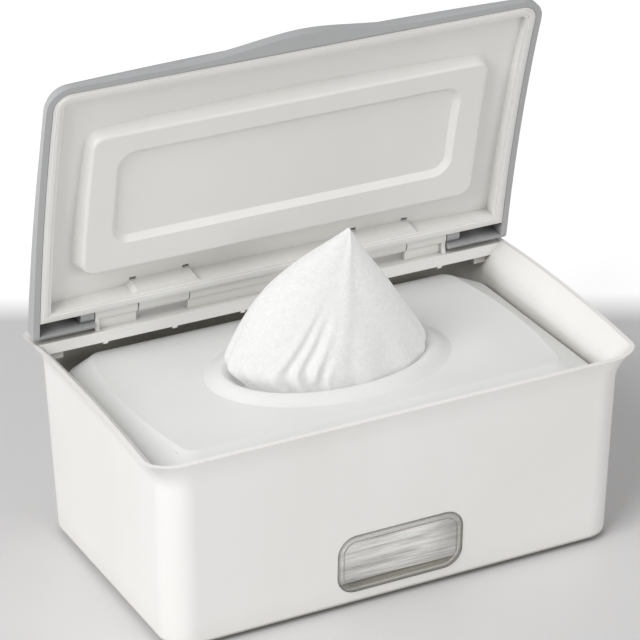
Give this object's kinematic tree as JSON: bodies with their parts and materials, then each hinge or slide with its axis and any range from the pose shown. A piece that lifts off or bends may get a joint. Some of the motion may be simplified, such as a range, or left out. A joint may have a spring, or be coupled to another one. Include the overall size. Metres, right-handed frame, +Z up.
{
  "type": "wipes dispenser",
  "caption": "Wipes dispenser: a tub with a window and a hinged lid, a weighted plate on the folded wipes, and one wipe standing up through its oval hole.",
  "frame": {"origin": "middle of the tub's footprint, on the surface that the feet stand on", "axes": "+Z up, +X along the tub's length to the right seen from the front, +Y from the front of the tub to its hinge"},
  "size_m": [0.24, 0.142, 0.2337],
  "materials": {
    "tub_white": "satin",
    "window_clear": "clear moulded plastic",
    "seal_grey": "soft, pale",
    "lid_grey": "satin",
    "liner_white": "satin",
    "plate_white": "satin",
    "pin_steel": "drawn",
    "weight_steel": "plain",
    "wipe_white": "soft non-woven",
    "foot_rubber": "matte"
  },
  "bodies": {
    "base": {"tub_shell": "tub_white", "window_pane": "window_clear", "window_seal": "seal_grey", "hinge_rail": "tub_white", "hinge_pin_left": "pin_steel", "hinge_pin_right": "pin_steel", "wipes_stack": "wipe_white", "foot_front_left": "foot_rubber", "foot_back_left": "foot_rubber", "foot_front_right": "foot_rubber", "foot_back_right": "foot_rubber"},
    "lid": {"lid_shell": "lid_grey", "lid_liner": "liner_white", "lid_seal": "seal_grey"},
    "plate": {"plate_shell": "plate_white", "plate_cover": "plate_white", "plate_weight_left": "weight_steel", "plate_weight_right": "weight_steel", "raised_wipe": "wipe_white"}
  },
  "joints": [
    {"name": "lid_hinge", "type": "hinge", "parent": "base", "child": "lid", "pos_m": [0, 0.0565, 0.1048], "axis": [-1, 0, 0], "range_deg": [-79.4, 0], "deforming": ["raised_wipe"]},
    {"name": "plate_slide", "type": "slide", "parent": "base", "child": "plate", "axis": [0, 0, 1], "range_m": [-0.06, 0.004], "deforming": ["wipes_stack"]}
  ]
}
